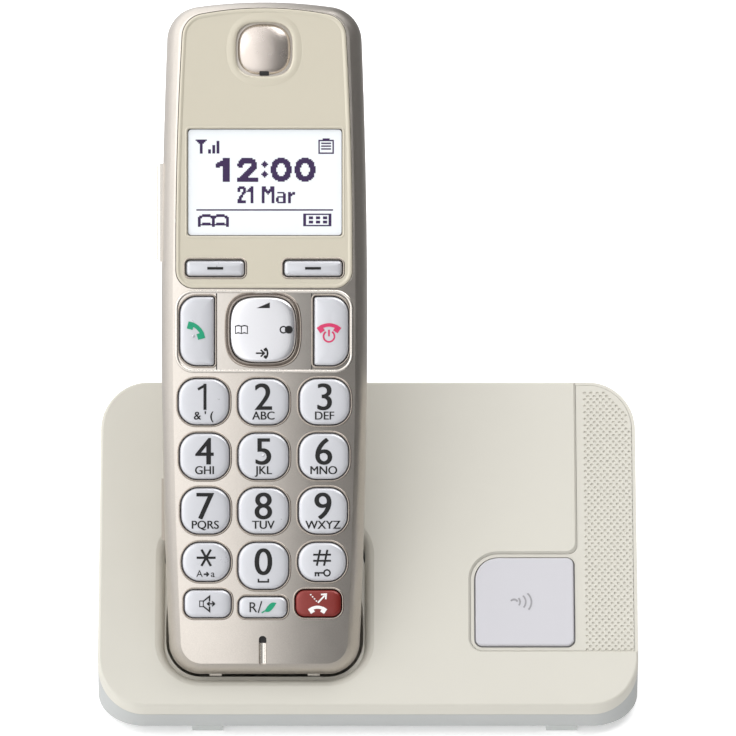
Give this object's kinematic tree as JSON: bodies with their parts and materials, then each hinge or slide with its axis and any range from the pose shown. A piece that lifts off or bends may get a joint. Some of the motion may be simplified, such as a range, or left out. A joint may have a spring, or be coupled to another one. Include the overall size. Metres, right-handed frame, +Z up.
{
  "type": "cordless phone with base",
  "caption": "Cordless phone with a display, dial keys and a navigator, standing in a wedge-shaped charging base with a locator button.",
  "frame": {"origin": "on the desk under the middle of the whole object's bounding box", "axes": "+Z up; -Y towards the user, so the front is at -Y; +X to the user's right"},
  "size_m": [0.143, 0.1314, 0.1517],
  "materials": {
    "champagne_cover": "satin champagne paint",
    "grey_housing": "fine matt",
    "textured_trim": "satin with rows of small dimples",
    "rubber_foot": "matt",
    "screw_steel": "plated",
    "circuit_board": "solder mask",
    "tinned_metal": "tinned",
    "black_plastic": "matt",
    "locator_silver": "pearl silver",
    "contact_metal": "nickel plated",
    "handset_metallic": "champagne metallic paint",
    "cream_panel": "pearl cream",
    "plate_metallic": "champagne metallic paint",
    "ear_silver": "satin silver",
    "clear_window": "clear",
    "key_silver": "pearl silver",
    "navigator_silver": "bright satin",
    "key_red": "satin red",
    "rubber_flap": "matt",
    "silicone": "matt",
    "display_glass": "display",
    "white_plastic": "diffuse",
    "cell_sleeve": "printed sleeve"
  },
  "bodies": {
    "base": {"base_top_cover": "champagne_cover", "base_bottom_housing": "grey_housing", "textured_trim_panel": "textured_trim", "base_feet": "rubber_foot", "base_screws": "screw_steel", "base_circuit_board": "circuit_board", "base_radio_shield": "tinned_metal", "base_antenna": "tinned_metal", "dc_power_jack": "black_plastic", "telephone_line_jack": "black_plastic", "locator_board": "circuit_board", "locator_switch": "black_plastic"},
    "handset": {"battery_cells": "cell_sleeve", "battery_contacts": "contact_metal", "display_lens_panel": "cream_panel", "display_window": "clear_window", "earpiece_cover": "ear_silver", "earpiece_speaker": "black_plastic", "function_plate": "plate_metallic", "handset_antenna": "tinned_metal", "handset_charge_contacts": "contact_metal", "handset_circuit_board": "circuit_board", "handset_front_housing": "handset_metallic", "handset_rear_housing": "handset_metallic", "handset_screws": "screw_steel", "headset_jack": "black_plastic", "keypad_mat": "silicone", "lcd_module": "display_glass", "light_guide": "white_plastic", "loudspeaker": "black_plastic", "metal_domes": "contact_metal", "microphone": "black_plastic", "volume_switch": "black_plastic"},
    "soft_key_left": {"soft_key_left": "key_silver"},
    "soft_key_right": {"soft_key_right": "key_silver"},
    "speakerphone_key": {"speakerphone_key": "key_silver"},
    "recall_key": {"recall_key": "key_silver"},
    "call_block_key": {"call_block_key": "key_red"},
    "key_1": {"key_1": "key_silver"},
    "key_3": {"key_3": "key_silver"},
    "key_2": {"key_2": "key_silver"},
    "key_4": {"key_4": "key_silver"},
    "key_6": {"key_6": "key_silver"},
    "key_5": {"key_5": "key_silver"},
    "key_7": {"key_7": "key_silver"},
    "key_9": {"key_9": "key_silver"},
    "key_8": {"key_8": "key_silver"},
    "key_star": {"key_star": "key_silver"},
    "key_hash": {"key_hash": "key_silver"},
    "key_0": {"key_0": "key_silver"},
    "talk_key": {"talk_key": "key_silver"},
    "off_key": {"off_key": "key_silver"},
    "navigator_key": {"navigator_key": "navigator_silver"},
    "volume_key": {"volume_key": "key_silver"},
    "battery_cover": {"battery_cover": "handset_metallic"},
    "headset_jack_cover": {"headset_jack_cover": "rubber_flap"},
    "locator_button": {"locator_button": "locator_silver"},
    "base_charge_contact_left": {"base_charge_contact_left": "contact_metal"},
    "base_charge_contact_right": {"base_charge_contact_right": "contact_metal"}
  },
  "joints": [
    {"name": "handset_lift", "type": "slide", "parent": "base", "child": "handset", "axis": [0, 0.6428, 0.766], "range_m": [0, 0.2]},
    {"name": "locator_press", "type": "slide", "parent": "base", "child": "locator_button", "axis": [0, 0.4384, -0.8988], "range_m": [0, 0.0006], "stiffness_N_per_m": 2500},
    {"name": "charge_contact_left_press", "type": "slide", "parent": "base", "child": "base_charge_contact_left", "axis": [0, -0.6428, -0.766], "range_m": [0, 0.0005], "stiffness_N_per_m": 800},
    {"name": "charge_contact_right_press", "type": "slide", "parent": "base", "child": "base_charge_contact_right", "axis": [0, -0.6428, -0.766], "range_m": [0, 0.0005], "stiffness_N_per_m": 800},
    {"name": "soft_key_left_press", "type": "slide", "parent": "handset", "child": "soft_key_left", "axis": [0, 0.766, -0.6428], "range_m": [0, 0.0006], "stiffness_N_per_m": 2500},
    {"name": "soft_key_right_press", "type": "slide", "parent": "handset", "child": "soft_key_right", "axis": [0, 0.766, -0.6428], "range_m": [0, 0.0006], "stiffness_N_per_m": 2500},
    {"name": "speakerphone_key_press", "type": "slide", "parent": "handset", "child": "speakerphone_key", "axis": [0, 0.766, -0.6428], "range_m": [0, 0.0006], "stiffness_N_per_m": 2500},
    {"name": "recall_key_press", "type": "slide", "parent": "handset", "child": "recall_key", "axis": [0, 0.766, -0.6428], "range_m": [0, 0.0006], "stiffness_N_per_m": 2500},
    {"name": "call_block_key_press", "type": "slide", "parent": "handset", "child": "call_block_key", "axis": [0, 0.766, -0.6428], "range_m": [0, 0.0006], "stiffness_N_per_m": 2500},
    {"name": "key_1_press", "type": "slide", "parent": "handset", "child": "key_1", "axis": [0, 0.766, -0.6428], "range_m": [0, 0.0006], "stiffness_N_per_m": 2500},
    {"name": "key_3_press", "type": "slide", "parent": "handset", "child": "key_3", "axis": [0, 0.766, -0.6428], "range_m": [0, 0.0006], "stiffness_N_per_m": 2500},
    {"name": "key_2_press", "type": "slide", "parent": "handset", "child": "key_2", "axis": [0, 0.766, -0.6428], "range_m": [0, 0.0006], "stiffness_N_per_m": 2500},
    {"name": "key_4_press", "type": "slide", "parent": "handset", "child": "key_4", "axis": [0, 0.766, -0.6428], "range_m": [0, 0.0006], "stiffness_N_per_m": 2500},
    {"name": "key_6_press", "type": "slide", "parent": "handset", "child": "key_6", "axis": [0, 0.766, -0.6428], "range_m": [0, 0.0006], "stiffness_N_per_m": 2500},
    {"name": "key_5_press", "type": "slide", "parent": "handset", "child": "key_5", "axis": [0, 0.766, -0.6428], "range_m": [0, 0.0006], "stiffness_N_per_m": 2500},
    {"name": "key_7_press", "type": "slide", "parent": "handset", "child": "key_7", "axis": [0, 0.766, -0.6428], "range_m": [0, 0.0006], "stiffness_N_per_m": 2500},
    {"name": "key_9_press", "type": "slide", "parent": "handset", "child": "key_9", "axis": [0, 0.766, -0.6428], "range_m": [0, 0.0006], "stiffness_N_per_m": 2500},
    {"name": "key_8_press", "type": "slide", "parent": "handset", "child": "key_8", "axis": [0, 0.766, -0.6428], "range_m": [0, 0.0006], "stiffness_N_per_m": 2500},
    {"name": "key_star_press", "type": "slide", "parent": "handset", "child": "key_star", "axis": [0, 0.766, -0.6428], "range_m": [0, 0.0006], "stiffness_N_per_m": 2500},
    {"name": "key_hash_press", "type": "slide", "parent": "handset", "child": "key_hash", "axis": [0, 0.766, -0.6428], "range_m": [0, 0.0006], "stiffness_N_per_m": 2500},
    {"name": "key_0_press", "type": "slide", "parent": "handset", "child": "key_0", "axis": [0, 0.766, -0.6428], "range_m": [0, 0.0006], "stiffness_N_per_m": 2500},
    {"name": "talk_key_press", "type": "slide", "parent": "handset", "child": "talk_key", "axis": [0, 0.766, -0.6428], "range_m": [0, 0.0006], "stiffness_N_per_m": 2500},
    {"name": "off_key_press", "type": "slide", "parent": "handset", "child": "off_key", "axis": [0, 0.766, -0.6428], "range_m": [0, 0.0006], "stiffness_N_per_m": 2500},
    {"name": "navigator_tilt", "type": "hinge", "parent": "handset", "child": "navigator_key", "pos_m": [-0.0277, -0.00061, 0.08497], "axis": [1, 0, 0], "range_deg": [-2.2, 2.2], "stiffness_Nm_per_rad": 0.4},
    {"name": "volume_rock", "type": "hinge", "parent": "handset", "child": "volume_key", "pos_m": [-0.0514, 0.02215, 0.10634], "axis": [0, -0.766, 0.6428], "range_deg": [-1.5, 1.5], "stiffness_Nm_per_rad": 0.4},
    {"name": "battery_cover_off", "type": "slide", "parent": "handset", "child": "battery_cover", "axis": [0, 0.766, -0.6428], "range_m": [0, 0.006]},
    {"name": "headset_jack_cover_open", "type": "hinge", "parent": "handset", "child": "headset_jack_cover", "pos_m": [-0.0539, -0.02853, 0.0366], "axis": [0, -0.766, 0.6428], "range_deg": [0, 90]}
  ]
}
